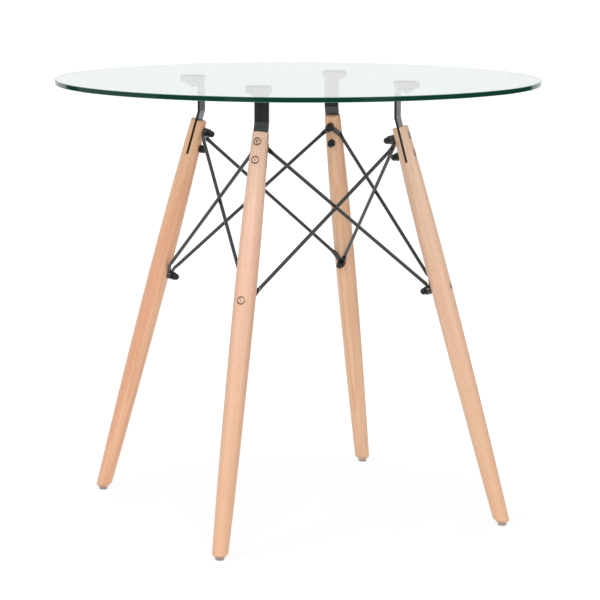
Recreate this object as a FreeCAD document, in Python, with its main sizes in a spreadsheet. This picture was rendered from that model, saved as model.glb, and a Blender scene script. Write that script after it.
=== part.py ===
"""Round glass table on four splayed beech legs tied by crossed steel rods.

Millimetres and degrees. The origin is on the floor under the middle of the table, +Z is up and
the front of the table faces -Y. Each leg has a plane of its own through the table's centre line.
Pieces are drawn in that plane as if the leg stood over +X, then turned to their own corner.
"""

import FreeCAD
import Part
import Sketcher
import math
import os
import re

# Every sheet name holds an underscore, which is how expressions tell it from a function.
SIZES = {
    # The table as a whole
    "table_height": 727,
    "leg_azimuth": 45,
    # Glass top
    "glass_diameter": 800,
    "glass_thickness": 8,
    "glass_arris": 0.8,
    # Legs: the belly's height is a share of the leg's length
    "foot_radius": 360.5,
    "leg_splay": 15.75,
    "foot_diameter": 25,
    "belly_diameter": 35,
    "belly_share": 0.6136,
    "top_diameter": 26.4,
    "top_round": 2.5,
    "foot_flat": 15,
    # Slot in the leg's top and the flat bar that stands in it
    "slot_depth": 59.5,
    "slot_clearance": 0.15,
    "bar_thickness": 4,
    "bar_width": 24,
    "arm_clearance": 0.5,
    "bend_rise": 15.8,
    "upright_height": 39.25,
    "bar_bend_radius": 8,
    "tab_bend_radius": 7,
    "tab_tip_flat": 0.5,
    # Rubber pad on the bar's tab, its screw and its nut
    "pad_offset": 15,
    "pad_diameter": 43,
    "pad_thickness": 10,
    "pad_edge_radius": 3,
    "pad_arris": 0.8,
    "screw_diameter": 5,
    "screw_clearance": 0.2,
    "screw_head_diameter": 9,
    "screw_head_thickness": 3,
    "screw_head_depth": 4.5,
    "screw_socket_width": 3,
    "screw_socket_depth": 1.6,
    "screw_tail": 1,
    "small_nut_width": 8,
    "small_nut_thickness": 4,
    # Bolts through the leg, with drops measured along the axis from the leg's top
    "upper_bolt_drop": 17,
    "bolt_spacing": 29.6,
    "lower_bolt_drop": 271.5,
    "bolt_diameter": 6,
    "bolt_clearance": 0.25,
    "bolt_head_diameter": 12,
    "bolt_head_thickness": 3.3,
    "bolt_head_rim": 2.2,
    "bolt_crown_diameter": 8,
    "bolt_dome_radius": 4.5,
    "bolt_head_depth": 3.8,
    "head_clearance": 0.7,
    "bolt_edge": 0.4,
    "socket_width": 4,
    "socket_depth": 2,
    "thread_clearance": 0.05,
    "thread_end": 0.6,
    "nut_width": 12,
    "cap_hex_height": 5.5,
    "cap_height": 13.5,
    "cap_dome_diameter": 11.2,
    "cap_thread_depth": 9,
    # Brace rods: round bar, flattened at both ends into a pierced eye on a tongue
    "brace_diameter": 6,
    "eye_diameter": 14,
    "eye_thickness": 3,
    "tongue_width": 7.5,
    "inner_shank": 13,
    "tongue_bend_radius": 4,
    "flare_length": 9,
    "crossing_clearance": 0.05,
    # Glide under the foot and the nail that holds it
    "glide_height": 4,
    "glide_diameter": 14,
    "glide_edge": 1,
    "nail_diameter": 2.4,
    "nail_length": 18,
    "nail_point": 3,
    "nail_clearance": 0.05,
    "nail_head_diameter": 5,
    "nail_head_thickness": 1,
    "nail_head_depth": 1.8,
}


def leg_radius(distance):
    """The leg's radius at a distance up its axis, below or above its belly, as an expression.

    The leg swells along two parabolas that meet at the belly.
    """
    rise = f"({distance} - belly_distance)"
    lower = f"foot_swell * ({rise} / (belly_distance - foot_end)) ^ 2"
    upper = f"top_fall * ({rise} / (top_edge - belly_distance)) ^ 2"
    return f"belly_diameter / 2 - ({rise} < 0 ? {lower} : {upper})"


# Sizes that follow from those above
DERIVED = {
    "glass_underside": "table_height - glass_thickness",
    # Bracket: the tab under its pad, the upright below it and the bend that the leg stops short of
    "tab_top": "glass_underside - pad_thickness",
    "tab_middle": "tab_top - bar_thickness / 2",
    "corner_height": "tab_middle - upright_height",
    "bend_distance": "corner_height / cos(leg_splay)",
    "upright_radius": "foot_radius - bend_distance * sin(leg_splay)",
    "bend_setback": "bar_bend_radius * tan(leg_splay / 2)",
    "tab_reach": "pad_offset + bar_width / 2",
    "pad_radius": "upright_radius + pad_offset",
    # Leg, with distances measured along its axis from the floor
    "leg_length": "bend_distance - bend_rise",
    "belly_distance": "belly_share * leg_length",
    "foot_centre": "foot_radius - glide_height * tan(leg_splay)",
    "foot_end": "-foot_diameter / 2 * tan(leg_splay)",
    "foot_swell": "(belly_diameter - foot_diameter) / 2",
    "top_fall": "(belly_diameter - top_diameter) / 2",
    "top_edge": "leg_length - top_round",
    "slot_width": "bar_thickness + 2 * slot_clearance",
    "arm_distance": "leg_length - slot_depth + arm_clearance",
    "arm_length": "bend_distance - arm_distance",
    # Bolts: distance up the leg, leg radius there, and where head and inner pieces bear on it
    "upper_bolt": "leg_length - upper_bolt_drop",
    "middle_bolt": "upper_bolt - bolt_spacing",
    "lower_bolt": "leg_length - lower_bolt_drop",
    "upper_radius": leg_radius("upper_bolt"),
    "middle_radius": leg_radius("middle_bolt"),
    "lower_radius": leg_radius("lower_bolt"),
    "nut_corner": "nut_width / 2 / cos(30)",
    "upper_seat": leg_radius("upper_bolt - eye_diameter / 2"),
    "middle_seat": leg_radius("middle_bolt - nut_corner"),
    "lower_seat": "belly_diameter / 2",
    "stack_height": "2 * eye_thickness",
    "bolt_hole": "bolt_diameter / 2 + bolt_clearance",
}

CORNERS = ["back_right", "back_left", "front_left", "front_right"]
SIDES = ["back", "left", "front", "right"]
QUARTER = 90
UP = FreeCAD.Vector(0, 0, 1)
# Points closer than this are one point, and a cut of less than this volume missed its piece
TOUCHING = 0.01
SMALLEST_CUT = 0.1
# Rounds in which a repeated estimate settles
ROUNDS = 40

doc = FreeCAD.newDocument("RoundTable")
sheet = doc.addObject("Spreadsheet::Sheet", "Sizes")


def fill_sheet():
    """Write the driving sizes as plain numbers and the others as formulas, each with its name."""
    rows = [(name, str(number)) for name, number in SIZES.items()]
    rows += [(name, "=" + formula) for name, formula in DERIVED.items()]
    for row, (name, content) in enumerate(rows, start=1):
        sheet.set(f"A{row}", name)
        sheet.set(f"B{row}", content)
        sheet.setAlias(f"B{row}", name)
    doc.recompute()


def value(expression):
    """The number that an expression of sheet names comes to."""
    return float(sheet.evalExpression(expression))


def linked(expression):
    """The expression with each sheet name written as a reference to the sheet."""
    return re.sub(r"[a-z]+(_[a-z]+)+", r"Sizes.\g<0>", expression)


def turn_to_corner(piece, quarter):
    """Turn a piece drawn over +X to the corner that many quarters on from the first."""
    angle = linked(f"leg_azimuth + {QUARTER * quarter}")
    piece.setExpression("Placement", f"placement(vector(0; 0; 0); rotation({angle}; 0; 0))")


def new_body(label, quarter=0):
    body = doc.addObject("PartDesign::Body", label)
    body.Label = label
    turn_to_corner(body, quarter)
    return body


def sketch_on(body, name, role, base, axis=(0, 0, 1), angle="0"):
    """A sketch on one of the body's own planes, shifted by base and turned about an axis."""
    sketch = body.newObject("Sketcher::SketchObject", name)
    plane = next(item for item in body.Origin.OriginFeatures if item.Role == role)
    sketch.AttachmentSupport = [(plane, "")]
    sketch.MapMode = "FlatFace"
    turned = FreeCAD.Rotation(FreeCAD.Vector(*axis), 1)
    sketch.AttachmentOffset = FreeCAD.Placement(FreeCAD.Vector(), turned)
    for letter, expression in zip("xyz", base):
        sketch.setExpression(f"AttachmentOffset.Base.{letter}", linked(expression))
    sketch.setExpression("AttachmentOffset.Rotation.Angle", linked(angle))
    return sketch


def leg_sketch(body, name, distance):
    """In the leg's plane, its origin on the leg's axis: x points outward, y up along the leg."""
    across = f"foot_radius - ({distance}) * sin(leg_splay)"
    height = f"({distance}) * cos(leg_splay)"
    return sketch_on(body, name, "XZ_Plane", (across, height, "0"), (0, 0, 1), "leg_splay")


def upright_sketch(body, name, radius, height):
    """In the leg's plane, its origin at this radius and height: x points outward, y straight up."""
    return sketch_on(body, name, "XZ_Plane", (radius, height, "0"))


def bolt_face_sketch(body, name, distance, outward):
    """Square to a bolt, centred on it, this far outward from the leg's axis."""
    across = f"foot_radius - ({distance}) * sin(leg_splay) + ({outward}) * cos(leg_splay)"
    height = f"({distance}) * cos(leg_splay) + ({outward}) * sin(leg_splay)"
    return sketch_on(body, name, "YZ_Plane", ("0", height, across), (1, 0, 0), "-leg_splay")


def pin(sketch, corner, x, y):
    """Hold one corner of an outline at its two sheet-driven coordinates."""
    for kind, expression, axis in (("DistanceX", x, -2), ("DistanceY", y, -1)):
        if expression == "0":
            sketch.addConstraint(Sketcher.Constraint("PointOnObject", *corner, axis))
        else:
            rule = Sketcher.Constraint(kind, -1, 1, *corner, value(expression))
            index = sketch.addConstraint(rule)
            sketch.setExpression(f"Constraints[{index}]", linked(expression))


def add_line(sketch, start, end):
    line = sketch.addGeometry(Part.LineSegment(start, end))
    return (line, 1), (line, 2)


def add_arc(sketch, start, end, radius, turn):
    """An arc of sheet-driven radius, anticlockwise from start to end for turn 1, else clockwise."""
    size = value(radius)
    chord = end - start
    side = FreeCAD.Vector(-chord.y, chord.x, 0).normalize() * turn
    centre = (start + end) * 0.5 + side * math.sqrt(size ** 2 - (chord.Length / 2) ** 2)
    first, last = (start, end) if turn > 0 else (end, start)
    angles = [math.atan2(point.y - centre.y, point.x - centre.x) for point in (first, last)]
    arc = sketch.addGeometry(Part.ArcOfCircle(Part.Circle(centre, UP, size), *angles))
    index = sketch.addConstraint(Sketcher.Constraint("Radius", arc, size))
    sketch.setExpression(f"Constraints[{index}]", linked(radius))
    return ((arc, 1), (arc, 2)) if turn > 0 else ((arc, 2), (arc, 1))


def add_bow(sketch, start, end, x, y):
    """A parabola from start to end, its end tangents meeting at a sheet-driven point."""
    middle = FreeCAD.Vector(value(x), value(y), 0)
    curve = Part.BSplineCurve()
    curve.buildFromPolesMultsKnots([start, middle, end], [3, 3], [0, 1], False, 2)
    bow = sketch.addGeometry(curve)
    sketch.exposeInternalGeometry(bow)
    pin(sketch, (bow + 2, 3), x, y)
    return (bow, 1), (bow, 2)


def draw(sketch, corners, arcs=None, bows=None, closed=True):
    """Join the corners in order by lines, unless arcs or bows says how an edge curves.

    An arc is given by its radius and turn, a bow by the point where its end tangents meet.
    """
    arcs, bows = arcs or {}, bows or {}
    points = [FreeCAD.Vector(value(x), value(y), 0) for x, y in corners]
    followers = points[1:] + points[:1] if closed else points[1:]
    edges = []
    for edge, (start, end) in enumerate(zip(points, followers)):
        if edge in arcs:
            edges.append(add_arc(sketch, start, end, *arcs[edge]))
        elif edge in bows:
            edges.append(add_bow(sketch, start, end, *bows[edge]))
        else:
            edges.append(add_line(sketch, start, end))
    for (_, end), (start, _) in zip(edges, edges[1:] + edges[:1] if closed else edges[1:]):
        sketch.addConstraint(Sketcher.Constraint("Coincident", *end, *start))
    ends = [start for start, _ in edges] + ([] if closed else [edges[-1][1]])
    for corner, (x, y) in zip(ends, corners):
        pin(sketch, corner, x, y)


def revolved(body, kind, name, sketch, axis):
    """A full turn of the sketch about its own H_Axis or V_Axis, as a Revolution or a Groove."""
    feature = body.newObject(f"PartDesign::{kind}", name)
    feature.Profile = sketch
    feature.ReferenceAxis = (sketch, [axis])
    feature.Angle = 360
    return feature


def extruded(body, kind, name, sketch, length, reverse=False):
    """The sketch pushed along its normal as a Pad, or against it as a Pocket; reverse swaps."""
    feature = body.newObject(f"PartDesign::{kind}", name)
    feature.Profile = sketch
    feature.setExpression("Length", linked(length))
    feature.Reversed = reverse
    return feature


def draw_hexagon(sketch, width):
    """A hexagon of this width across its flats, round the sketch's origin."""
    half, corner = f"({width}) / 2", f"({width}) / 2 / cos(30)"
    low = f"({width}) / 4 / cos(30)"
    draw(sketch, [
        (half, f"-{low}"), (half, low), ("0", corner),
        (f"-{half}", low), (f"-{half}", f"-{low}"), ("0", f"-{corner}"),
    ])


def draw_circle(sketch, radius):
    """A circle of this radius round the sketch's origin."""
    size = value(radius)
    ring = sketch.addGeometry(Part.Circle(FreeCAD.Vector(), UP, size))
    sketch.addConstraint(Sketcher.Constraint("Coincident", ring, 3, -1, 1))
    index = sketch.addConstraint(Sketcher.Constraint("Radius", ring, size))
    sketch.setExpression(f"Constraints[{index}]", linked(radius))


def bore(body, name, distance, length):
    """A bolt's plain hole of this length in all, half of it to each side of the leg's axis."""
    sketch = bolt_face_sketch(body, name + "Outline", distance, "0")
    draw_circle(sketch, "bolt_hole")
    hole = extruded(body, "Pocket", name, sketch, length)
    hole.SideType = "Symmetric"


def at_each_corner(body, features):
    """Repeat the features round the table, one set for each leg."""
    doc.recompute()
    pattern = body.newObject("PartDesign::PolarPattern", "Corners")
    pattern.Originals = features
    axis = next(item for item in body.Origin.OriginFeatures if item.Role == "Z_Axis")
    pattern.Axis = (axis, [""])
    pattern.Angle = 360
    pattern.Occurrences = len(CORNERS)
    body.Tip = pattern


def make_glass():
    body = new_body("glass_top")
    section = upright_sketch(body, "GlassSection", "0", "glass_underside")
    draw(section, [
        ("0", "0"),
        ("glass_diameter / 2 - glass_arris", "0"),
        ("glass_diameter / 2", "glass_arris"),
        ("glass_diameter / 2", "glass_thickness - glass_arris"),
        ("glass_diameter / 2 - glass_arris", "glass_thickness"),
        ("0", "glass_thickness"),
    ])
    revolved(body, "Revolution", "Disc", section, "V_Axis")
    return body


def cut_bolt_hole(body, name, distance, radius):
    """A bolt's hole right through the leg, with a counterbore for its head on the outside."""
    bore(body, name, distance, "2 * belly_diameter")
    seat = f"{radius} - bolt_head_depth"
    sketch = bolt_face_sketch(body, name + "HeadOutline", distance, seat)
    draw_circle(sketch, "bolt_head_diameter / 2 + head_clearance")
    extruded(body, "Pocket", name + "Head", sketch, "belly_diameter", reverse=True)


def make_leg(corner, quarter):
    body = new_body(f"leg_{corner}", quarter)
    # Drawn square to the bolts, so that the turning's seam runs clear of their holes
    spindle = bolt_face_sketch(body, "Spindle", "0", "0")
    draw(spindle, [
        ("0", "foot_end"),
        ("foot_diameter / 2", "foot_end"),
        ("belly_diameter / 2", "belly_distance"),
        ("top_diameter / 2", "top_edge"),
        ("top_diameter / 2 - top_round", "leg_length"),
        ("0", "leg_length"),
    ], arcs={3: ("top_round", 1)}, bows={
        1: ("belly_diameter / 2", "(foot_end + belly_distance) / 2"),
        2: ("belly_diameter / 2", "(belly_distance + top_edge) / 2"),
    })
    revolved(body, "Revolution", "Turning", spindle, "V_Axis")

    slot = leg_sketch(body, "SlotOutline", "leg_length")
    draw(slot, [
        ("-slot_width / 2", "-slot_depth"), ("slot_width / 2", "-slot_depth"),
        ("slot_width / 2", "slot_width"), ("-slot_width / 2", "slot_width"),
    ])
    saw_cut = extruded(body, "Pocket", "Slot", slot, "2 * belly_diameter")
    saw_cut.SideType = "Symmetric"

    cut_bolt_hole(body, "UpperHole", "upper_bolt", "upper_radius")
    cut_bolt_hole(body, "MiddleHole", "middle_bolt", "middle_radius")
    cut_bolt_hole(body, "LowerHole", "lower_bolt", "lower_radius")

    # The foot is cut level with the floor and bevelled all round at 45 degrees
    level = upright_sketch(body, "FootOutline", "foot_centre", "glide_height")
    draw(level, [
        ("0", "0"), ("foot_flat / 2", "0"), ("foot_flat / 2 + foot_diameter", "foot_diameter"),
        ("3 * foot_diameter", "foot_diameter"), ("3 * foot_diameter", "-foot_diameter"),
        ("0", "-foot_diameter"),
    ])
    revolved(body, "Groove", "FootCut", level, "V_Axis")

    pilot = upright_sketch(body, "NailHoleOutline", "foot_centre", "glide_height")
    nail_radius = "nail_diameter / 2 + nail_clearance"
    depth = "nail_length - glide_height + nail_head_depth + nail_clearance"
    draw(pilot, [
        ("0", "-glide_height"), (nail_radius, "-glide_height"), (nail_radius, depth), ("0", depth),
    ])
    revolved(body, "Groove", "NailHole", pilot, "V_Axis")
    return body


def make_bracket(corner, quarter):
    """Flat bar: an arm along the leg, a bend to upright, and a tab turned out under the glass."""
    body = new_body(f"bracket_{corner}", quarter)
    path = upright_sketch(body, "BarPath", "upright_radius", "corner_height")
    draw(path, [
        ("arm_length * sin(leg_splay)", "-arm_length * cos(leg_splay)"),
        ("bend_setback * sin(leg_splay)", "-bend_setback * cos(leg_splay)"),
        ("0", "bend_setback"),
        ("0", "upright_height - tab_bend_radius"),
        ("tab_bend_radius", "upright_height"),
        ("tab_reach", "upright_height"),
    ], arcs={1: ("bar_bend_radius", -1), 3: ("tab_bend_radius", -1)}, closed=False)
    start = (
        "foot_radius - arm_distance * sin(leg_splay)", "0", "arm_distance * cos(leg_splay)")
    section = sketch_on(body, "BarSection", "XY_Plane", start, (0, 1, 0), "-leg_splay")
    half, side = "bar_thickness / 2", "bar_width / 2"
    draw(section, [(f"-{half}", f"-{side}"), (half, f"-{side}"), (half, side), (f"-{half}", side)])
    bar = body.newObject("PartDesign::AdditivePipe", "Bar")
    bar.Profile = section
    bar.Spine = path
    doc.recompute()

    # The tab's end is rounded: its two short upright edges are the ones furthest out
    reach = max(vertex.X for vertex in bar.Shape.Vertexes)
    tip = [
        f"Edge{number}" for number, edge in enumerate(bar.Shape.Edges, start=1)
        if all(reach - vertex.X < TOUCHING for vertex in edge.Vertexes)
        and abs(edge.Vertexes[0].Z - edge.Vertexes[-1].Z) > TOUCHING
    ]
    rounding = body.newObject("PartDesign::Fillet", "TabTip")
    rounding.Base = (bar, tip)
    rounding.setExpression("Radius", linked("(bar_width - tab_tip_flat) / 2"))

    bore(body, "UpperHole", "upper_bolt", "2 * bar_thickness")
    bore(body, "MiddleHole", "middle_bolt", "2 * bar_thickness")
    hole = upright_sketch(body, "TabHoleOutline", "pad_radius", "tab_middle")
    wide = "screw_diameter / 2 + screw_clearance"
    draw(hole, [
        ("0", "-bar_thickness"), (wide, "-bar_thickness"), (wide, "bar_thickness"),
        ("0", "bar_thickness"),
    ])
    revolved(body, "Groove", "TabHole", hole, "V_Axis")
    return body


def make_pad(corner, quarter):
    body = new_body(f"glass_pad_{corner}", quarter)
    section = upright_sketch(body, "PadSection", "pad_radius", "tab_top")
    hole = "screw_diameter / 2 + screw_clearance"
    well = "screw_head_diameter / 2 + screw_clearance"
    floor = "pad_thickness - screw_head_depth"
    draw(section, [
        (hole, "0"),
        ("pad_diameter / 2 - pad_edge_radius", "0"),
        ("pad_diameter / 2", "pad_edge_radius"),
        ("pad_diameter / 2", "pad_thickness - pad_arris"),
        ("pad_diameter / 2 - pad_arris", "pad_thickness"),
        (well, "pad_thickness"),
        (well, floor),
        (hole, floor),
    ], arcs={1: ("pad_edge_radius", 1)})
    revolved(body, "Revolution", "Puck", section, "V_Axis")
    return body


def make_glide(corner, quarter):
    body = new_body(f"foot_glide_{corner}", quarter)
    section = upright_sketch(body, "GlideSection", "foot_centre", "0")
    hole = "nail_diameter / 2 + nail_clearance"
    well = "nail_head_diameter / 2 + nail_clearance"
    draw(section, [
        (well, "0"),
        ("glide_diameter / 2 - glide_edge", "0"),
        ("glide_diameter / 2", "glide_edge"),
        ("glide_diameter / 2", "glide_height"),
        (hole, "glide_height"),
        (hole, "nail_head_depth"),
        (well, "nail_head_depth"),
    ], arcs={1: ("glide_edge", 1)})
    revolved(body, "Revolution", "Button", section, "V_Axis")
    return body


def make_nails():
    """One nail up into each foot, its head sunk in the glide."""
    body = new_body("glide_nails")
    section = upright_sketch(body, "NailSection", "foot_centre", "nail_head_depth")
    draw(section, [
        ("0", "-nail_head_thickness"),
        ("nail_head_diameter / 2", "-nail_head_thickness"),
        ("nail_head_diameter / 2", "0"),
        ("nail_diameter / 2", "0"),
        ("nail_diameter / 2", "nail_length - nail_point"),
        ("0", "nail_length"),
    ])
    at_each_corner(body, [revolved(body, "Revolution", "Nail", section, "V_Axis")])
    return body


def make_bolts(label, distance, radius, nut_seat):
    """Button-headed socket bolts, sunk in the outside of each leg and screwed into its cap nut."""
    body = new_body(label)
    seat = f"{radius} - bolt_head_depth"
    face = f"{seat} + bolt_head_thickness"
    tip = f"-({nut_seat} + cap_thread_depth - thread_end)"
    section = leg_sketch(body, "BoltSection", distance)
    draw(section, [
        (tip, "0"),
        (tip, "bolt_diameter / 2 - bolt_edge"),
        (f"{tip} + bolt_edge", "bolt_diameter / 2"),
        (seat, "bolt_diameter / 2"),
        (seat, "bolt_head_diameter / 2"),
        (f"{seat} + bolt_head_rim", "bolt_head_diameter / 2"),
        (face, "bolt_crown_diameter / 2"),
        (face, "0"),
    ], arcs={5: ("bolt_dome_radius", -1)})
    shank = revolved(body, "Revolution", "Bolt", section, "H_Axis")
    outline = bolt_face_sketch(body, "SocketOutline", distance, face)
    draw_hexagon(outline, "socket_width")
    socket = extruded(body, "Pocket", "Socket", outline, "socket_depth")
    at_each_corner(body, [shank, socket])
    return body


def make_cap_nuts(label, distance, seat):
    """Domed hexagon nuts on the inside of each leg, this far in from its axis."""
    body = new_body(label)
    outline = bolt_face_sketch(body, "HexOutline", distance, f"-({seat})")
    draw_hexagon(outline, "nut_width")
    block = extruded(body, "Pad", "Hex", outline, "cap_hex_height", reverse=True)
    radius, top = "cap_dome_diameter / 2", f"-({seat} + cap_height)"
    section = leg_sketch(body, "DomeSection", distance)
    draw(section, [
        (top, "0"), (f"-({seat})", "0"), (f"-({seat})", radius), (f"{top} + {radius}", radius),
    ], arcs={3: (radius, 1)})
    dome = revolved(body, "Revolution", "Dome", section, "H_Axis")
    wide, bottom = "bolt_diameter / 2 + thread_clearance", f"-({seat} + cap_thread_depth)"
    mouth = f"-({seat}) + bolt_edge"
    outline = leg_sketch(body, "ThreadOutline", distance)
    draw(outline, [(bottom, "0"), (mouth, "0"), (mouth, wide), (bottom, wide)])
    thread = revolved(body, "Groove", "Thread", outline, "H_Axis")
    at_each_corner(body, [block, dome, thread])
    return body


def make_pad_screws():
    body = new_body("pad_screws")
    seat = "glass_underside - screw_head_depth"
    section = upright_sketch(body, "ScrewSection", "pad_radius", seat)
    tip = f"tab_top - bar_thickness - small_nut_thickness - screw_tail - ({seat})"
    draw(section, [
        ("0", tip),
        ("screw_diameter / 2", tip),
        ("screw_diameter / 2", "0"),
        ("screw_head_diameter / 2", "0"),
        ("screw_head_diameter / 2", "screw_head_thickness - bolt_edge"),
        ("screw_head_diameter / 2 - bolt_edge", "screw_head_thickness"),
        ("0", "screw_head_thickness"),
    ])
    shank = revolved(body, "Revolution", "Screw", section, "V_Axis")
    top = f"{seat} + screw_head_thickness"
    outline = sketch_on(body, "SocketOutline", "XY_Plane", ("pad_radius", "0", top))
    draw_hexagon(outline, "screw_socket_width")
    socket = extruded(body, "Pocket", "Socket", outline, "screw_socket_depth")
    at_each_corner(body, [shank, socket])
    return body


def make_pad_nuts():
    body = new_body("pad_nuts")
    underside = "tab_top - bar_thickness"
    outline = sketch_on(body, "HexOutline", "XY_Plane", ("pad_radius", "0", underside))
    draw_hexagon(outline, "small_nut_width")
    block = extruded(body, "Pad", "Hex", outline, "small_nut_thickness", reverse=True)
    thread = upright_sketch(body, "ThreadOutline", "pad_radius", underside)
    wide, depth = "screw_diameter / 2 + thread_clearance", "-2 * small_nut_thickness"
    draw(thread, [("0", depth), (wide, depth), (wide, "screw_tail"), ("0", "screw_tail")])
    at_each_corner(body, [block, revolved(body, "Groove", "Thread", thread, "V_Axis")])
    return body


def eye_centre(azimuth, distance, seat, layer):
    """The middle of a rod's eye on a leg's inside, and the outward direction of its bolt."""
    splay, turn = math.radians(value("leg_splay")), math.radians(azimuth)
    radial = FreeCAD.Vector(math.cos(turn), math.sin(turn), 0)
    outward = radial * math.cos(splay) + UP * math.sin(splay)
    along = UP * math.cos(splay) - radial * math.sin(splay)
    axis_point = radial * value("foot_radius") + along * value(distance)
    return axis_point - outward * (value(seat) + (layer + 0.5) * value("eye_thickness")), outward


def brace_ends(layer, shank):
    """Eye, outward direction and bend of both ends of a rod; layer 0 lies against the wood.

    The rod's tongue leaves each eye, in the eye's plane, towards the other end, and bends inward
    at the shank's length. Where it bends moves the other end's tongue a little, so the bends are
    worked out by repetition.
    """
    upper_turn, lower_turn = (QUARTER, 0) if layer == 0 else (0, QUARTER)
    upper, upper_out = eye_centre(upper_turn, "upper_bolt", "upper_seat", layer)
    lower, lower_out = eye_centre(lower_turn, "lower_bolt", "lower_seat", layer)
    upper_bend, lower_bend = upper, lower
    for _ in range(ROUNDS):
        run = (lower_bend - upper_bend).normalize()
        upper_bend = upper + (run - upper_out * run.dot(upper_out)).normalize() * shank
        lower_bend = lower - (run - lower_out * run.dot(lower_out)).normalize() * shank
    return (upper, upper_out, upper_bend), (lower, lower_out, lower_bend)


def crossing_gap(outer_shank):
    """Distance between the middle lines of the two rods of one side, where they cross."""
    (_, _, outer_start), (_, _, outer_end) = brace_ends(0, outer_shank)
    (_, _, inner_start), (_, _, inner_end) = brace_ends(1, value("inner_shank"))
    across = (outer_end - outer_start).cross(inner_end - inner_start).normalize()
    return (outer_start - inner_start).dot(across) * (1 if across.dot(outer_start) > 0 else -1)


def outer_shank_length():
    """The outer rod's shank that lets the two rods of a side just pass where they cross."""
    wanted = value("brace_diameter + crossing_clearance")
    low, high = value("inner_shank"), value("inner_shank + 10 * brace_diameter")
    for _ in range(ROUNDS):
        middle = (low + high) / 2
        if crossing_gap(middle) < wanted:
            low = middle
        else:
            high = middle
    return high


def brace_tip(shank, bend):
    """One end of a rod, drawn with the eye at the origin, the bolt along Z and the tongue along X.

    Returns the solid and how far the round bar starts from the bend, along the rod.
    """
    thick, wide = value("eye_thickness"), value("tongue_width")
    radius, flare = value("tongue_bend_radius"), value("flare_length")
    setback = radius * math.tan(bend / 2)
    straight = shank - setback
    eye = Part.makeCylinder(value("eye_diameter") / 2, thick, UP * (-thick / 2))
    tongue = Part.makeBox(straight, wide, thick, FreeCAD.Vector(0, -wide / 2, -thick / 2))

    corners = [(-1, -1), (1, -1), (1, 1), (-1, 1)]
    flat = [FreeCAD.Vector(straight, y * wide / 2, z * thick / 2) for y, z in corners]
    flat_wire = Part.makePolygon(flat + flat[:1])
    hinge = FreeCAD.Vector(straight, 0, -radius)
    sideways = FreeCAD.Vector(0, 1, 0)
    curl = Part.Face(flat_wire).revolve(hinge, sideways, math.degrees(bend))

    # From the flat to the round, drawn straight on from the tongue and then turned with the bend
    bar = value("brace_diameter") / 2
    quarters = [math.radians(angle) for angle in range(-135, 226, 45)]
    rim = [
        FreeCAD.Vector(straight + flare, bar * math.cos(angle), bar * math.sin(angle))
        for angle in quarters
    ]
    arcs = [Part.Arc(*rim[start:start + 3]).toShape() for start in range(0, 8, 2)]
    cone = Part.makeLoft([flat_wire, Part.Wire(arcs)], True, True)
    cone.rotate(hinge, sideways, math.degrees(bend))
    solid = eye.fuse([tongue, curl, cone])
    hole = value("bolt_hole")
    return solid.cut(Part.makeCylinder(hole, 2 * thick, UP * -thick)), setback + flare


def make_brace(label, layer, shank, quarter):
    """A rod from one leg's upper bolt to the next leg's lower bolt, with an eye at each end."""
    ends = brace_ends(layer, shank)
    (_, _, upper_bend), (_, _, lower_bend) = ends
    run = (lower_bend - upper_bend).normalize()
    pieces, round_ends = [], []
    for (eye, outward, bend_point), inward_run in zip(ends, (run, run * -1)):
        tongue = (bend_point - eye).normalize()
        tip, round_start = brace_tip(shank, tongue.getAngle(inward_run))
        turned = FreeCAD.Rotation(tongue, outward.cross(tongue), outward, "ZXY")
        tip.Placement = FreeCAD.Placement(eye, turned)
        pieces.append(tip)
        round_ends.append(bend_point + inward_run * round_start)
    start, end = round_ends
    bar = Part.makeCylinder(value("brace_diameter") / 2, (end - start).Length, start, run)
    rod = doc.addObject("Part::Feature", label)
    rod.Label = label
    rod.Shape = bar.fuse(pieces).removeSplitter()
    turn_to_corner(rod, quarter)
    return rod


def make_table():
    """Every piece of the table, in the order in which it would be put together."""
    pieces = []
    for quarter, corner in enumerate(CORNERS):
        pieces += [
            make_leg(corner, quarter),
            make_glide(corner, quarter),
            make_bracket(corner, quarter),
            make_pad(corner, quarter),
        ]
    outer_shank = outer_shank_length()
    for quarter, side in enumerate(SIDES):
        pieces.append(make_brace(f"brace_{side}_outer", 0, outer_shank, quarter))
        pieces.append(make_brace(f"brace_{side}_inner", 1, value("inner_shank"), quarter))
    # The upper and lower bolts each carry two eyes, the middle one none
    for level, seat in (
        ("upper", "upper_seat + stack_height"),
        ("middle", "middle_seat"),
        ("lower", "lower_seat + stack_height"),
    ):
        pieces.append(make_bolts(f"{level}_bolts", f"{level}_bolt", f"{level}_radius", seat))
        pieces.append(make_cap_nuts(f"{level}_cap_nuts", f"{level}_bolt", seat))
    pieces += [
        make_nails(),
        make_pad_screws(),
        make_pad_nuts(),
        make_glass(),
    ]
    doc.recompute()
    return pieces


def check_table(pieces):
    """Stop if any object failed, any piece is not a sound solid or any cut removed nothing."""
    for item in doc.Objects:
        if "Invalid" in item.State or "Error" in item.State:
            raise RuntimeError(f"{item.Label} failed: {item.State}")
        if item.isDerivedFrom("PartDesign::Pocket") or item.isDerivedFrom("PartDesign::Groove"):
            if item.Shape.Volume > item.BaseFeature.Shape.Volume - SMALLEST_CUT:
                owner = item.getParentGeoFeatureGroup()
                raise RuntimeError(f"{item.Label} of {owner.Label} cut nothing")
    for piece in pieces:
        if piece.Shape.isNull() or not piece.Shape.isValid() or not piece.Shape.Solids:
            raise RuntimeError(f"{piece.Label} is not a sound solid")


def write_parts(pieces):
    os.makedirs("parts", exist_ok=True)
    for piece in pieces:
        piece.Shape.exportStep(f"parts/{piece.Label}.step")
        print(piece.Label, len(piece.Shape.Solids), round(piece.Shape.Volume))


fill_sheet()
table = make_table()
check_table(table)
write_parts(table)
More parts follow.
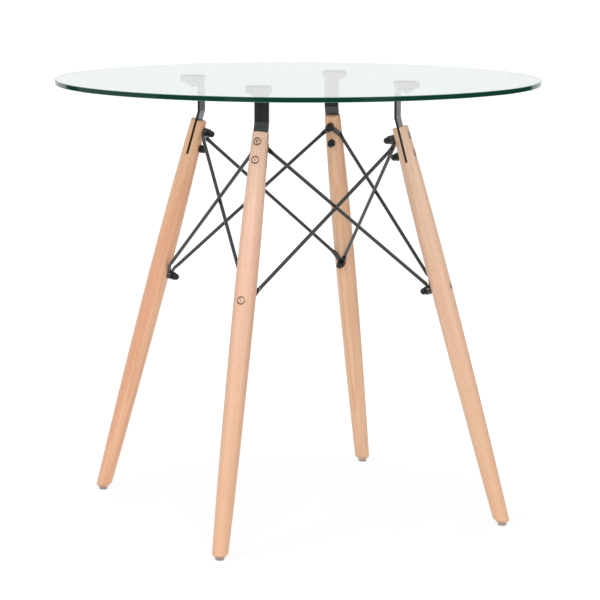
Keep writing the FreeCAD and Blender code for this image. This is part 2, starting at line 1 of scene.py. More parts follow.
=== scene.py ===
# %% [markdown]
# # A round glass table on crossed-rod dowel legs
#
# The table was modelled as separate solids: a glass disc, four turned beech legs, four bent
# steel brackets, eight brace rods and their bolts, nuts, pads and glides. This lesson gives each
# of them the finish it has in a workshop, and photographs the table on a white studio floor.
#
# Nothing on this table is soft or moves, so every solid keeps its shape. What the lesson adds is
# in the surfaces: wood that grows along each leg, glass that turns green along its edge, paint
# with the skin of baked powder, and bolts with the bloom of old plating.

# %% Load the table
import math

import bpy
from mathutils import Euler, Matrix, Vector


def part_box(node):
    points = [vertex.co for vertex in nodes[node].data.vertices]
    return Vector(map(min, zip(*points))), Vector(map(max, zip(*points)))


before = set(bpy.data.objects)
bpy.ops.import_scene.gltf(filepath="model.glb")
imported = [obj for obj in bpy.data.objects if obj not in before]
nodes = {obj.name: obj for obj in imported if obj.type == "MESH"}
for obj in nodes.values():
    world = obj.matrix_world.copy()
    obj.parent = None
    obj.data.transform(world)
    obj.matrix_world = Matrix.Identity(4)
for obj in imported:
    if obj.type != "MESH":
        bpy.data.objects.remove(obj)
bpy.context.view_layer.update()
scene = bpy.context.scene
scene.view_settings.view_transform = "Standard"

# %% [markdown]
# ## Helpers for finishes
#
# A colour picked from a paint card is an sRGB hex value, while the renderer adds up light in
# linear values. One function turns the first into the second, so the colours below can be read
# as a painter reads them.
#
# A finish is a small network of nodes. One function adds any node with its settings, and joins an
# input wherever it is given another node's output in place of a number. The others start a
# finish, turn a real size into a pattern's scale, and put a finish on pieces.


# %% Helpers for colours and nodes
def paint(hex_value):
    """An sRGB hex colour such as D9B48F, as linear red, green, blue and alpha."""
    parts = [int(hex_value[start:start + 2], 16) / 255 for start in (0, 2, 4)]
    linear = [part / 12.92 if part <= 0.04045 else ((part + 0.055) / 1.055) ** 2.4 for part in parts]
    return (*linear, 1.0)


def add_node(tree, kind, inputs=None, **settings):
    """Add one node: settings are its own properties, inputs are numbers or other nodes' outputs."""
    node = tree.nodes.new(kind)
    for name, setting in settings.items():
        setattr(node, name, setting)
    for name, given in (inputs or {}).items():
        if isinstance(given, bpy.types.NodeSocket):
            tree.links.new(given, node.inputs[name])
        else:
            node.inputs[name].default_value = given
    return node


def new_finish(name):
    """A material with an empty node tree, and that tree."""
    material = bpy.data.materials.new(name)
    material.use_nodes = True
    material.node_tree.nodes.clear()
    return material, material.node_tree


def per_metre(millimetres):
    """The scale of a noise whose blotches are about this many millimetres across."""
    return 1000 / millimetres


def give(material, names):
    """Put one finish on the named pieces."""
    for name in names:
        nodes[name].data.materials.clear()
        nodes[name].data.materials.append(material)


print("a mid grey, 808080, is", round(paint("808080")[0], 3), "in linear light")

# %% [markdown]
# ## Where the legs stand
#
# The legs stand on the diagonals of the floor and lean in towards the middle. Wood grain has to
# follow each leg, so the lesson needs every leg's own direction. It could be read from the mesh,
# but the lean is one known angle, and four turns of it give all the legs.

# %% Corners of the table
CORNERS = ["back_right", "back_left", "front_left", "front_right"]
SIDES = ["back", "left", "front", "right"]
LEG_LEAN = math.radians(15.75)
FIRST_LEG_TURN = math.radians(45)
UP = Vector((0, 0, 1))


def leg_direction(corner):
    """The unit vector up along a leg."""
    turn = FIRST_LEG_TURN + math.tau * CORNERS.index(corner) / len(CORNERS)
    inward = Vector((-math.cos(turn), -math.sin(turn), 0))
    return inward * math.sin(LEG_LEAN) + UP * math.cos(LEG_LEAN)


for corner in CORNERS:
    print("leg", corner, "runs along", [round(part, 3) for part in leg_direction(corner)])

# %% [markdown]
# ## Beech, turned and lacquered
#
# Beech is a pale, pinkish, close-grained wood. A turner sees four things on a beech spindle:
# growth rings that run as long lines where the cut follows them, broad streaks that drift
# between pink and straw, the short dark dashes of its rays, and darker end grain at foot and top.
# Each leg has its own pair of tones. Those of the two front legs are paler and pinker, which in
# part is painted sheen from the front light, and the front legs grow darker and warmer towards
# the foot, which is painted shade that leaves their upper parts looking lit.

# %% Tones of the beech
# The paler and the pinker tone of each leg (the front pair partly painted sheen), and its painted foot
# shade
BEECH_TONES_AND_FOOT_SHADE = {
    "back_right": ("F3C6A0", "EAB38F", 0.0),
    "back_left": ("F2BE96", "E9AA85", 0.0),
    "front_left": ("EEC5AA", "E5B49C", 0.7),
    "front_right": ("EECAAE", "E4B69C", 0.65),
}
# Painted shade: a warmer, darker tone on the front legs' feet, so that their tops look lit
BEECH_FOOT_SHADE = "EFB889"
BEECH_RING = "DDA47F"
BEECH_FLECK = "B9805A"
BEECH_END = "C08D69"
print("boards of beech:", len(BEECH_TONES_AND_FOOT_SHADE))

# %% [markdown]
# A flat picture of wood wrapped round the leg would smear at the ends. Here the wood is solid:
# each pattern fills space along the leg's own direction, and the turned surface cuts through it,
# as the tool cut through the plank. Streaks and rays are both noise drawn out along the grain,
# long and broad for the one, short and narrow for the other, so one function makes both.

# %% Streaks and rays
# Millimetres
STREAK_WIDTH, STREAK_LENGTH = 7, 260
# Real rays are a third of a millimetre wide, so they are drawn coarser here in order to show
FLECK_WIDTH, FLECK_LENGTH = 1.1, 9
# The noise at which a ray starts to show and shows most, and its share of the colour there
FLECK_START, FLECK_FULL, FLECK_SHARE = 0.62, 0.78, 0.5


def long_spots(tree, grain, width, length, detail):
    """Noise drawn out along the grain, with spots of this width and length in millimetres."""
    stretched = add_node(tree, "ShaderNodeMapping", {
        "Vector": grain.outputs["Vector"],
        "Scale": (per_metre(width), per_metre(width), per_metre(length))})
    return add_node(tree, "ShaderNodeTexNoise", {
        "Vector": stretched.outputs["Vector"], "Scale": 1.0, "Detail": detail, "Roughness": 0.55})


def ray_flecks(tree, grain):
    """The share of the short dark dashes where rays come to the surface."""
    dashes = long_spots(tree, grain, FLECK_WIDTH, FLECK_LENGTH, detail=1.0)
    return add_node(tree, "ShaderNodeMapRange", {
        "Value": dashes.outputs["Fac"], "From Min": FLECK_START, "From Max": FLECK_FULL,
        "To Max": FLECK_SHARE})


print("streaks:", STREAK_WIDTH, "by", STREAK_LENGTH, "mm, rays:", FLECK_WIDTH, "by", FLECK_LENGTH, "mm")

# %% [markdown]
# The pith of the tree lies outside the leg, so the turned round cuts the growth rings into long
# lines. They waver, but slowly along the grain, as a trunk does. End grain could be painted on by
# hand at foot and top, but the way a surface faces already tells it: where it faces along the
# leg, a saw has cut across the fibres. The painted shade at the foot of the front legs just fades
# out with height, and leaves their upper parts paler, as the front light's sheen would.

# %% Rings, end grain and painted foot shade
# Millimetres from ring to ring, and metres from ring to ring of a wave pattern at scale 1
RING_SPACING = 3.2
WAVE_PERIOD = math.tau / 20
# How far the rings waver, and how slowly they do it along the leg
RING_WAVER, WAVER_ALONG = 9.0, 0.12
# The part of a ring where its darker late wood starts, and the most that it adds to the colour
LATE_WOOD_START, LATE_WOOD_SHARE = 0.55, 0.55
# How far a face looks along the leg where end grain starts and is full, and its share there
END_START, END_FULL, END_SHARE = 0.35, 0.8, 0.75
# Metres above the floor where the painted shade at the foot has faded out
FOOT_SHADE_HEIGHT = 0.55


def growth_rings(tree, grain):
    """The share of the darker late wood in rings round a pith outside the leg."""
    slow = add_node(tree, "ShaderNodeMapping", {
        "Vector": grain.outputs["Vector"], "Scale": (1, 1, WAVER_ALONG)})
    rings = add_node(tree, "ShaderNodeTexWave", {
        "Vector": slow.outputs["Vector"], "Scale": WAVE_PERIOD * per_metre(RING_SPACING),
        "Distortion": RING_WAVER, "Detail": 2.0, "Detail Scale": 0.12, "Detail Roughness": 0.4,
    }, wave_type="RINGS", rings_direction="Z", wave_profile="SAW")
    return add_node(tree, "ShaderNodeMapRange", {
        "Value": rings.outputs["Fac"], "From Min": LATE_WOOD_START, "To Max": LATE_WOOD_SHARE,
    }, interpolation_type="SMOOTHSTEP")


def end_grain(tree, place, along):
    """The share of end grain: most where the surface faces along the leg, none on its round."""
    facing = add_node(tree, "ShaderNodeVectorMath", {
        0: place.outputs["Normal"], 1: along}, operation="DOT_PRODUCT")
    endwise = add_node(tree, "ShaderNodeMath", {0: facing.outputs["Value"]}, operation="ABSOLUTE")
    return add_node(tree, "ShaderNodeMapRange", {
        "Value": endwise.outputs["Value"], "From Min": END_START, "From Max": END_FULL,
        "To Max": END_SHARE})


def paint_foot_shade(tree, place, painted_foot_shade):
    """The share of the painted foot shade, a warmer tone that is most at the floor and fades upwards.
    """
    height = add_node(tree, "ShaderNodeSeparateXYZ", {"Vector": place.outputs["Object"]})
    return add_node(tree, "ShaderNodeMapRange", {
        "Value": height.outputs["Z"], "From Max": FOOT_SHADE_HEIGHT, "To Min": painted_foot_shade, "To Max": 0.0})


print("rings every", RING_SPACING, "mm, warmth up to", FOOT_SHADE_HEIGHT, "m")

# %% [markdown]
# The patterns are laid over each other as a painter would grain a door: the leg's two tones in
# streaks first, then the painted shade at the foot, the rings, the rays and the end grain, each by its
# own share.

# %% Colour of the wood
# The noise at which a streak is all of the paler tone, and all of the pinker
STREAK_PALE, STREAK_PINK = 0.32, 0.68


def wood_colour(tree, streaks, pale, pink, layers):
    """Streaks of two tones, with the tone of each layer laid over them by its share."""
    drift = add_node(tree, "ShaderNodeMapRange", {
        "Value": streaks.outputs["Fac"], "From Min": STREAK_PALE, "From Max": STREAK_PINK,
    }, interpolation_type="SMOOTHSTEP")
    colour = add_node(tree, "ShaderNodeMix", {
        0: drift.outputs["Result"], 6: paint(pale), 7: paint(pink)}, data_type="RGBA")
    for share, tone in layers:
        colour = add_node(tree, "ShaderNodeMix", {
            0: share.outputs["Result"], 6: colour.outputs[2], 7: paint(tone)}, data_type="RGBA")
    return colour


print("tones laid over the streaks:", BEECH_FOOT_SHADE, BEECH_RING, BEECH_FLECK, BEECH_END)

# %% [markdown]
# Each leg takes its wood from another place in space, so no two look alike. Satin lacquer lies
# over all of it as a coat: it evens the sheen, but lets the streaks and the pores be felt.

# %% Beech legs
# Metres: where the wood of the first leg is taken from, and the step from each leg to the next
PLANK_START = Vector((0.0, 0.045, 0.0))
PLANK_STEP = Vector((0.31, 0.0, 0.17))
# How rough the wood is in its paler and in its pinker streaks, and the lacquer over both
PALE_ROUGHNESS, PINK_ROUGHNESS = 0.34, 0.48
LACQUER_IOR, LACQUER_WEIGHT, LACQUER_ROUGHNESS = 1.5, 0.6, 0.4
# The depth of a pore in millimetres, and how much of it the lacquer leaves open
PORE_DEPTH, PORE_OPEN = 0.06, 0.25


def beech(corner):
    """Lacquered beech whose grain runs along one leg."""
    material, tree = new_finish("lacquered_beech_" + corner)
    pale, pink, painted_foot_shade = BEECH_TONES_AND_FOOT_SHADE[corner]
    along = leg_direction(corner)
    place = add_node(tree, "ShaderNodeTexCoord")
    grain = add_node(tree, "ShaderNodeMapping", {
        "Vector": place.outputs["Object"], "Rotation": along.rotation_difference(UP).to_euler(),
        "Location": PLANK_START + PLANK_STEP * CORNERS.index(corner)})
    streaks = long_spots(tree, grain, STREAK_WIDTH, STREAK_LENGTH, detail=4.0)
    flecks = ray_flecks(tree, grain)
    # The first layer is painted shade, at the foot of the front legs only
    colour = wood_colour(tree, streaks, pale, pink, [
        (paint_foot_shade(tree, place, painted_foot_shade), BEECH_FOOT_SHADE), (growth_rings(tree, grain), BEECH_RING),
        (flecks, BEECH_FLECK), (end_grain(tree, place, along), BEECH_END)])
    sheen = add_node(tree, "ShaderNodeMapRange", {
        "Value": streaks.outputs["Fac"], "To Min": PALE_ROUGHNESS, "To Max": PINK_ROUGHNESS})
    pores = add_node(tree, "ShaderNodeBump", {
        "Height": flecks.outputs["Result"], "Strength": PORE_OPEN, "Distance": PORE_DEPTH / 1000,
    }, invert=True)
    surface = add_node(tree, "ShaderNodeBsdfPrincipled", {
        "Base Color": colour.outputs[2], "Roughness": sheen.outputs["Result"],
        "Normal": pores.outputs["Normal"], "IOR": LACQUER_IOR,
        "Coat Weight": LACQUER_WEIGHT, "Coat Roughness": LACQUER_ROUGHNESS})
    add_node(tree, "ShaderNodeOutputMaterial", {"Surface": surface.outputs["BSDF"]})
    return material


for corner in CORNERS:
    give(beech(corner), ["leg_" + corner])
print("beech legs:", len(CORNERS))

# %% [markdown]
# ## Steel under baked powder
#
# Brackets and rods are mild steel under black powder coat. The powder is sprayed on dry and melts
# in an oven, so it keeps a faint orange-peel skin and a satin sheen instead of a mirror. A plain
# black would show neither, so the skin is a bump, and the paint has a slight mottling.

# %% Skin of black steel
# Millimetres: a real skin ripples at about half a millimetre, and is drawn at twice that to show
PEEL_SIZE = 1.0
PEEL_STRENGTH = 0.4
MOTTLE_SIZE = 35
SHEEN_SPREAD = 0.06
PAINT_IOR = 1.6


def black_steel(name, dark, pale, roughness, peel, shine):
    """Black steel whose skin ripples by this many millimetres and shines by this share."""
    material, tree = new_finish(name)
    place = add_node(tree, "ShaderNodeTexCoord")
    mottle = add_node(tree, "ShaderNodeTexNoise", {
        "Vector": place.outputs["Object"], "Scale": per_metre(MOTTLE_SIZE), "Detail": 5.0})
    skin = add_node(tree, "ShaderNodeTexNoise", {
        "Vector": place.outputs["Object"], "Scale": per_metre(PEEL_SIZE), "Detail": 2.0})
    colour = add_node(tree, "ShaderNodeMix", {
        0: mottle.outputs["Fac"], 6: paint(dark), 7: paint(pale)}, data_type="RGBA")
    sheen = add_node(tree, "ShaderNodeMapRange", {
        "Value": mottle.outputs["Fac"],
        "To Min": roughness - SHEEN_SPREAD, "To Max": roughness + SHEEN_SPREAD})
    ripple = add_node(tree, "ShaderNodeBump", {
        "Height": skin.outputs["Fac"], "Strength": PEEL_STRENGTH, "Distance": peel / 1000})
    surface = add_node(tree, "ShaderNodeBsdfPrincipled", {
        "Base Color": colour.outputs[2], "Roughness": sheen.outputs["Result"],
        "Normal": ripple.outputs["Normal"], "IOR": PAINT_IOR, "Specular IOR Level": shine})
    add_node(tree, "ShaderNodeOutputMaterial", {"Surface": surface.outputs["BSDF"]})
    return material


print("skin ripples every", PEEL_SIZE, "mm, mottling every", MOTTLE_SIZE, "mm")

# %% [markdown]
# The cap nuts, and the screws and nuts that hold the pads, are black as well, but plated. Plating
# is thinner than powder, so the same function makes it with a finer skin and less shine.

# %% Powder coat and black plate
POWDER_BLACK = "191919"
POWDER_GREY = "242423"
PLATE_BLACK = "121213"

powder_coat = black_steel(
    "black_powder_coat", POWDER_BLACK, POWDER_GREY, roughness=0.2, peel=0.03, shine=0.55)
give(powder_coat, ["bracket_" + corner for corner in CORNERS])
give(powder_coat, [f"brace_{side}_{layer}" for side in SIDES for layer in ("outer", "inner")])
black_plate = black_steel(
    "black_plated_steel", PLATE_BLACK, POWDER_BLACK, roughness=0.3, peel=0.01, shine=0.3)
give(black_plate, [row + "_cap_nuts" for row in ("upper", "middle", "lower")])
give(black_plate, ["pad_screws", "pad_nuts"])
print("black finishes:", powder_coat.name, black_plate.name)

# %% [markdown]
# ## Nickel-plated bolts
#
# The bolts, and the nails in the glides, are nickel plated: a warm white metal that dulls to a
# brownish bloom where hands have been. A metal has no colour of its own under its shine, so it is
# all reflection, and its roughness decides how it looks. Here both tone and roughness wander over
# about a millimetre, which breaks up the light on a head as small as a fingernail.

# %% Nickel
NICKEL = "E2C4B2"
TARNISH = "9A7866"
# Millimetres
BLOOM_SIZE = 1.2
# The noise at which the bloom starts and covers all, and how rough the bare and the dull metal is
BLOOM_START, BLOOM_FULL = 0.35, 0.65
BRIGHT_ROUGHNESS, DULL_ROUGHNESS = 0.34, 0.52

nickel, tree = new_finish("nickel_plated_steel")
place = add_node(tree, "ShaderNodeTexCoord")
bloom = add_node(tree, "ShaderNodeTexNoise", {
    "Vector": place.outputs["Object"], "Scale": per_metre(BLOOM_SIZE), "Detail": 3.0})
patches = add_node(tree, "ShaderNodeMapRange", {
    "Value": bloom.outputs["Fac"], "From Min": BLOOM_START, "From Max": BLOOM_FULL})
metal_tone = add_node(tree, "ShaderNodeMix", {
    0: patches.outputs["Result"], 6: paint(NICKEL), 7: paint(TARNISH)}, data_type="RGBA")
sheen = add_node(tree, "ShaderNodeMapRange", {
    "Value": bloom.outputs["Fac"], "To Min": BRIGHT_ROUGHNESS, "To Max": DULL_ROUGHNESS})
surface = add_node(tree, "ShaderNodeBsdfPrincipled", {
    "Base Color": metal_tone.outputs[2], "Roughness": sheen.outputs["Result"], "Metallic": 1.0})
add_node(tree, "ShaderNodeOutputMaterial", {"Surface": surface.outputs["BSDF"]})
give(nickel, ["upper_bolts", "middle_bolts", "lower_bolts", "glide_nails"])
print("plated finish:", nickel.name)

# %% [markdown]
# ## Rubber pads and plastic glides
#
# A moulded rubber pad lies between each bracket and the glass, and a plastic button under each
# foot slides on the floor. Rubber is matt and slightly dusty; the button is a waxy grey plastic
# that scuffs. Both are moulded, so their skin is even, with a fine spark-eroded grain.

# %% Rubber and plastic
RUBBER_BLACK = "1B1B1B"
RUBBER_DUST = "2A2A29"
GLIDE_GREY = "938B84"
GLIDE_SCUFF = "A8A099"
# Millimetres across and deep
MOULD_GRAIN, MOULD_DEPTH = 0.8, 0.05
MOULD_STRENGTH = 0.3


def moulded(name, dark, pale, roughness):
    """A moulded skin of two close tones with a fine grain."""
    material, tree = new_finish(name)
    place = add_node(tree, "ShaderNodeTexCoord")
    grain = add_node(tree, "ShaderNodeTexNoise", {
        "Vector": place.outputs["Object"], "Scale": per_metre(MOULD_GRAIN), "Detail": 3.0})
    colour = add_node(tree, "ShaderNodeMix", {
        0: grain.outputs["Fac"], 6: paint(dark), 7: paint(pale)}, data_type="RGBA")
    skin = add_node(tree, "ShaderNodeBump", {
        "Height": grain.outputs["Fac"], "Strength": MOULD_STRENGTH, "Distance": MOULD_DEPTH / 1000})
    surface = add_node(tree, "ShaderNodeBsdfPrincipled", {
        "Base Color": colour.outputs[2], "Roughness": roughness, "Normal": skin.outputs["Normal"]})
    add_node(tree, "ShaderNodeOutputMaterial", {"Surface": surface.outputs["BSDF"]})
    return material


rubber = moulded("black_rubber", RUBBER_BLACK, RUBBER_DUST, roughness=0.75)
give(rubber, ["glass_pad_" + corner for corner in CORNERS])
polyethylene = moulded("grey_polyethylene", GLIDE_GREY, GLIDE_SCUFF, roughness=0.5)
give(polyethylene, ["foot_glide_" + corner for corner in CORNERS])
print("moulded finishes:", rubber.name, polyethylene.name)

# %% [markdown]
# ## Float glass
#
# Float glass is clear through its face and green along its edge. Both come from one property: a
# trace of iron takes out red light, a little for each centimetre that the light travels. Through
# the face that is eight millimetres, and looking into the edge it is the whole width of the top.
# So the body is a clear glass shader, with an absorption inside it that stands for the iron.

# %% Clear glass
GLASS_IOR = 1.52
GLASS_TINT = "D6E2E0"
IRON_GREEN = "33B19F"
IRON_DENSITY = 6.0

glass, tree = new_finish("clear_float_glass")
clear = add_node(tree, "ShaderNodeBsdfPrincipled", {
    "Base Color": paint(GLASS_TINT), "Roughness": 0.0, "IOR": GLASS_IOR, "Transmission Weight": 1.0})
iron = add_node(tree, "ShaderNodeVolumeAbsorption", {
    "Color": paint(IRON_GREEN), "Density": IRON_DENSITY})
glass_low, glass_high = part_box("glass_top")
print("glass top in mm:", [round(size * 1000, 1) for size in glass_high - glass_low])

# %% [markdown]
# The edge could be left to that absorption too. But light that enters it bounces many times
# between the two faces before it comes out, and a renderer finds so few of those ways that the
# edge is speckled. So the edge has a finish of its own, on its outside alone: the deep green that
# a long way through glass leaves, under a polish that mirrors the room. Its two corners, the
# arrises, are ground and stay paler. How level a point's face is tells where it is: the broad
# faces are level, the edge is upright, and an arris lies between the two.

# %% Polished edge
EDGE_GREEN = "084A3B"
ARRIS_GREEN = "5E9484"
EDGE_ROUGHNESS = 0.11
# How level a face is, from 0 upright to 1 flat, where an arris and where a broad face starts
ARRIS_LEVEL, FACE_LEVEL = 0.45, 0.85

face = add_node(tree, "ShaderNodeNewGeometry")
slope = add_node(tree, "ShaderNodeSeparateXYZ", {"Vector": face.outputs["True Normal"]})
level = add_node(tree, "ShaderNodeMath", {0: slope.outputs["Z"]}, operation="ABSOLUTE")
arris = add_node(tree, "ShaderNodeMath", {
    0: level.outputs["Value"], 1: ARRIS_LEVEL}, operation="GREATER_THAN")
green = add_node(tree, "ShaderNodeMix", {
    0: arris.outputs["Value"], 6: paint(EDGE_GREEN), 7: paint(ARRIS_GREEN)}, data_type="RGBA")
depth = add_node(tree, "ShaderNodeBsdfDiffuse", {"Color": green.outputs[2]})
polish = add_node(tree, "ShaderNodeBsdfGlossy", {"Roughness": EDGE_ROUGHNESS})
gloss = add_node(tree, "ShaderNodeFresnel", {"IOR": GLASS_IOR})
edge = add_node(tree, "ShaderNodeMixShader", {
    0: gloss.outputs["Fac"], 1: depth.outputs["BSDF"], 2: polish.outputs["BSDF"]})
rim = add_node(tree, "ShaderNodeMath", {
    0: level.outputs["Value"], 1: FACE_LEVEL}, operation="LESS_THAN")
outside = add_node(tree, "ShaderNodeMath", {
    0: rim.outputs["Value"], 1: face.outputs["Backfacing"]}, operation="SUBTRACT", use_clamp=True)
body = add_node(tree, "ShaderNodeMixShader", {
    0: outside.outputs["Value"], 1: clear.outputs["BSDF"], 2: edge.outputs["Shader"]})
print("edge green:", EDGE_GREEN, "arris green:", ARRIS_GREEN)

# %% [markdown]
# The renderer can't find the way of a lamp's light through refracting glass, and would leave the
# legs in shadow, so for shadow rays alone the top counts as a plain, faintly tinted pane. Light
# inside the disc is mirrored between its faces, so more bounces are allowed than is usual.

# %% Glass top
GLASS_SHADOW = "F0F6F4"
LONGEST_PATH = 24

passing = add_node(tree, "ShaderNodeBsdfTransparent", {"Color": paint(GLASS_SHADOW)})
ray = add_node(tree, "ShaderNodeLightPath")
pane = add_node(tree, "ShaderNodeMixShader", {
    0: ray.outputs["Is Shadow Ray"], 1: body.outputs["Shader"], 2: passing.outputs["BSDF"]})
add_node(tree, "ShaderNodeOutputMaterial", {
    "Surface": pane.outputs["Shader"], "Volume": iron.outputs["Volume"]})
give(glass, ["glass_top"])
scene.cycles.max_bounces = LONGEST_PATH
scene.cycles.transmission_bounces = LONGEST_PATH
scene.cycles.glossy_bounces = LONGEST_PATH
print("glass finish:", glass.name, "with paths of up to", LONGEST_PATH, "bounces")

# %% [markdown]
# ## White floor and background
#
# The table was photographed on white. A floor lit until it is white would throw that light back
# at the table and wash it out. Instead floor and background are dimmer than white, and glow as
# much as they need to look white to the rays that see them: those from the camera, those
# mirrored by a shiny piece and those that have passed through the glass.

# %% Rays that see white
SEEING_RAYS = ["Is Camera Ray", "Is Glossy Ray", "Is Transmission Ray"]


def seen_directly(tree):
    """One for the rays that see the set, and nothing for those that only carry light."""
    ray = add_node(tree, "ShaderNodeLightPath")
    seen = ray.outputs[SEEING_RAYS[0]]
    for kind in SEEING_RAYS[1:]:
        either = add_node(tree, "ShaderNodeMath", {0: seen, 1: ray.outputs[kind]}, operation="MAXIMUM")
        seen = either.outputs["Value"]
    return seen


print("white is seen by:", ", ".join(SEEING_RAYS))

# %% [markdown]
# The floor is painted a plain grey, so that it takes the table's shadow. The lamps reach less far
# than the floor does, so its glow grows outwards. From underneath the floor is clear, so that the
# table can be looked at from there too.

# %% Floor paint
FLOOR_GREY = "8B8B8B"
FLOOR_BOUNCE = 0.48
# The glow near the table and far from it, and the metres between which it grows
NEAR_GLOW, FAR_GLOW = 0.785, 1.0
GLOW_START, GLOW_END = 0.3, 0.9

floor_paint, tree = new_finish("grey_floor_paint")
place = add_node(tree, "ShaderNodeTexCoord")
away = add_node(tree, "ShaderNodeVectorMath", {0: place.outputs["Object"]}, operation="LENGTH")
reach = add_node(tree, "ShaderNodeMapRange", {
    "Value": away.outputs["Value"], "From Min": GLOW_START, "From Max": GLOW_END,
    "To Min": NEAR_GLOW, "To Max": FAR_GLOW}, interpolation_type="SMOOTHSTEP")
glow = add_node(tree, "ShaderNodeMapRange", {
    "Value": seen_directly(tree), "To Min": FLOOR_BOUNCE, "To Max": reach.outputs["Result"]})
grey = add_node(tree, "ShaderNodeBsdfDiffuse", {"Color": paint(FLOOR_GREY)})
light = add_node(tree, "ShaderNodeEmission", {"Strength": glow.outputs["Result"]})
both = add_node(tree, "ShaderNodeAddShader", {0: grey.outputs["BSDF"], 1: light.outputs["Emission"]})
side = add_node(tree, "ShaderNodeNewGeometry")
see_through = add_node(tree, "ShaderNodeBsdfTransparent")
one_way = add_node(tree, "ShaderNodeMixShader", {
    0: side.outputs["Backfacing"], 1: both.outputs["Shader"], 2: see_through.outputs["BSDF"]})
add_node(tree, "ShaderNodeOutputMaterial", {"Surface": one_way.outputs["Shader"]})
print("floor glow:", NEAR_GLOW, "to", FAR_GLOW)

# %% [markdown]
# A curved sweep of paper would hide the line where floor and background meet. Here both are the
# same white, so a plain sheet does, if it runs far enough for its end to be lost.

# %% Floor
FLOOR_SIZE = 60

bpy.ops.mesh.primitive_plane_add(size=FLOOR_SIZE)
floor = bpy.context.object
floor.name = "studio_floor"
floor.data.materials.append(floor_paint)
print("floor:", FLOOR_SIZE, "m wide")

# %% [markdown]
# The world beyond the floor does the same as the floor: it lights the table by half, and looks
# white, so the two meet unseen.

# %% World
AMBIENT = 0.50
WHITE = "FFFFFF"

world = bpy.data.worlds.new("white_studio")
scene.world = world
world.use_nodes = True
tree = world.node_tree
tree.nodes.clear()
brightness = add_node(tree, "ShaderNodeMapRange", {
    "Value": seen_directly(tree), "To Min": AMBIENT, "To Max": 1.0})
sky = add_node(tree, "ShaderNodeBackground", {
    "Color": paint(WHITE), "Strength": brightness.outputs["Result"]})
add_node(tree, "ShaderNodeOutputWorld", {"Surface": sky.outputs["Background"]})
print("ambient light:", AMBIENT)

# %% [markdown]
# ## Cloth round the set
#
# Clear glass on white has no edge of its own: it shows whatever stands round it. Photographers
# lay black velvet round the set, out of the picture, and the glass draws its rim with it. The
# upright faces of the painted steel go dark in the same way. Three lengths of white felt part
# the velvet and put paler stretches into the rim, and no cloth lies behind the table, so the
# glass stays light there. The lengths are made to show in reflections only, so they take no
# light from the table.

# %% Velvet and felt
CLOTH_TONES = {"black_velvet": "1A1A1A", "white_felt": "E6E6E6"}

cloth_finishes = {}
for cloth_name, cloth_tone in CLOTH_TONES.items():
    cloth_finishes[cloth_name], tree = new_finish(cloth_name)
    pile = add_node(tree, "ShaderNodeBsdfDiffuse", {"Color": paint(cloth_tone)})
    add_node(tree, "ShaderNodeOutputMaterial", {"Surface": pile.outputs["BSDF"]})
print("cloths:", ", ".join(cloth_finishes))

# %% [markdown]
# Each length is a sector of a flat ring. Its angles count from the side on which the camera
# stands, to the left and to the right, because they were chosen in the camera's picture.

# %% Lengths of cloth
# Degrees: the camera's side, counted from +X, and where each length starts and ends from there
CAMERA_SIDE = 244.5
CLOTH_LENGTHS = [
    ("black_velvet", -137, -122), ("white_felt", -122, -66), ("black_velvet", -66, -32),
    ("white_felt", -32, -20), ("black_velvet", -20, 28), ("white_felt", 28, 44),
    ("black_velvet", 44, 140)]
CLOTH_STEPS = 24
# Metres: the inner and outer edge, and how high the cloth lies over the floor
CLOTH_EDGES = (1.15, 14.0)
CLOTH_HEIGHT = 0.003


def floor_cloth(name, finish, start, end):
    """A sector of a flat ring on the floor, seen in reflections only."""
    turns = [
        math.radians(CAMERA_SIDE + start + (end - start) * step / CLOTH_STEPS)
        for step in range(CLOTH_STEPS + 1)]
    points = [
        (radius * math.cos(turn), radius * math.sin(turn), CLOTH_HEIGHT)
        for turn in turns for radius in CLOTH_EDGES]
    panels = [(2 * step, 2 * step + 1, 2 * step + 3, 2 * step + 2) for step in range(CLOTH_STEPS)]
    mesh = bpy.data.meshes.new(name)
    mesh.from_pydata(points, [], panels)
    mesh.materials.append(finish)
    cloth = bpy.data.objects.new(name, mesh)
    scene.collection.objects.link(cloth)
    cloth.visible_camera = False
    cloth.visible_diffuse = False
    cloth.visible_transmission = False
    cloth.visible_shadow = False


for number, (cloth_name, start, end) in enumerate(CLOTH_LENGTHS):
    floor_cloth(f"floor_cloth_{number}", cloth_finishes[cloth_name], start, end)
print("lengths of cloth:", len(CLOTH_LENGTHS), "from", CLOTH_EDGES[0], "to", CLOTH_EDGES[1], "m out")

# %% [markdown]
# ## Lamps
#
# Polished glass would mirror each lamp as a hard white patch when the table is seen from another
# side. Lamps can be hidden from every reflection, but then the painted steel would lose its
# highlights as well. So they are linked to the pieces that they light, which is all but the glass.

# %% Pieces that the lamps light
lit_pieces = bpy.data.collections.new("lit_pieces")
for name, piece in nodes.items():
    if name != "glass_top":
        lit_pieces.objects.link(piece)
lit_pieces.objects.link(floor)

# %% [markdown]
# A large softbox stands high behind the camera and gives the legs their turn from light to shade.
# One high at the left draws the upper sides of the rods, a weak one at the right keeps the
# far side of each leg from going flat, one overhead lifts what is under the glass, and a low one
# in front fills the feet. The low lamp is there for its soft light alone, so it shows in no
# reflection at all.


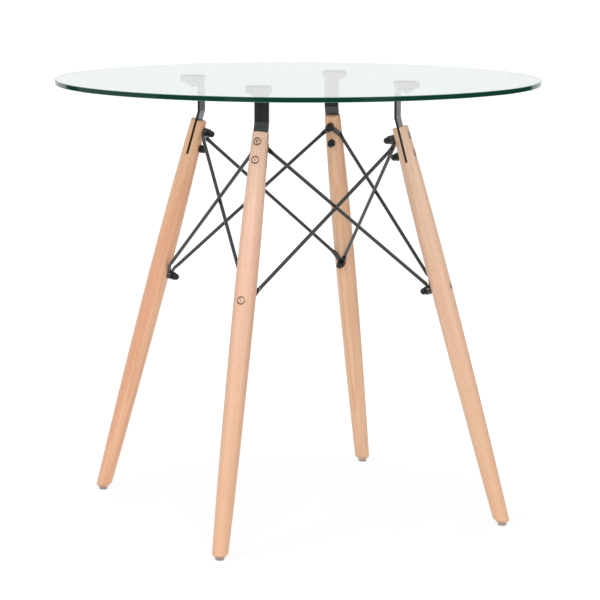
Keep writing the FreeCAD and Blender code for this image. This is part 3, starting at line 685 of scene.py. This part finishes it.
# %% Softboxes
def softbox(name, place, target, width, height, watts):
    """A rectangular lamp at a place, turned to face a target, that lights all but the glass."""
    lamp = bpy.data.lights.new(name, "AREA")
    lamp.shape = "RECTANGLE"
    lamp.size, lamp.size_y = width, height
    lamp.energy = watts
    stand = bpy.data.objects.new(name, lamp)
    stand.location = place
    stand.rotation_euler = (Vector(target) - Vector(place)).to_track_quat("-Z", "Y").to_euler()
    stand.light_linking.receiver_collection = lit_pieces
    scene.collection.objects.link(stand)
    return stand


# Metres
MIDDLE = (0, 0, 0.4)
FEET = (0, 0, 0.2)
softbox("softbox_front", (-1.9, -3.8, 3.3), MIDDLE, width=2.6, height=1.6, watts=62)
softbox("softbox_left", (-3.4, -1.2, 2.6), MIDDLE, width=1.2, height=1.2, watts=30)
softbox("softbox_right", (2.2, -3.6, 1.8), MIDDLE, width=1.6, height=1.8, watts=12)
softbox("softbox_above", (0.3, 0.8, 3.6), MIDDLE, width=2.1, height=2.1, watts=20)
low_fill = softbox("softbox_low", (-2.0, -4.4, 0.6), FEET, width=1.6, height=1.0, watts=22)
low_fill.visible_glossy = False
print("softboxes:", ", ".join(lamp.name for lamp in bpy.data.lights))

# %% [markdown]
# ## Camera
#
# The view was worked out from the photograph: from the rim of the glass, the feet and the bolts
# together. It is a long lens, about four metres away and a little above the table top, so the
# round top shows as a thin ellipse and the legs hardly converge.

# %% Camera
# Millimetres, metres and degrees
SENSOR = 36
LENS = 144.79
CAMERA_PLACE = (-1.7157, -3.6025, 1.0161)
CAMERA_PITCH = 9.401
CAMERA_TURN = -25.526
CAMERA_ROLL = 0.178

camera = bpy.data.objects.new("camera", bpy.data.cameras.new("camera"))
camera.data.sensor_width = SENSOR
camera.data.lens = LENS
aim = Euler((math.radians(90 - CAMERA_PITCH), 0, math.radians(CAMERA_TURN))).to_matrix().to_4x4()
roll = Matrix.Rotation(math.radians(CAMERA_ROLL), 4, "Z")
camera.matrix_world = Matrix.Translation(CAMERA_PLACE) @ aim @ roll
scene.collection.objects.link(camera)
scene.camera = camera
print("camera is", round(Vector(CAMERA_PLACE).length, 2), "m from the table's foot")
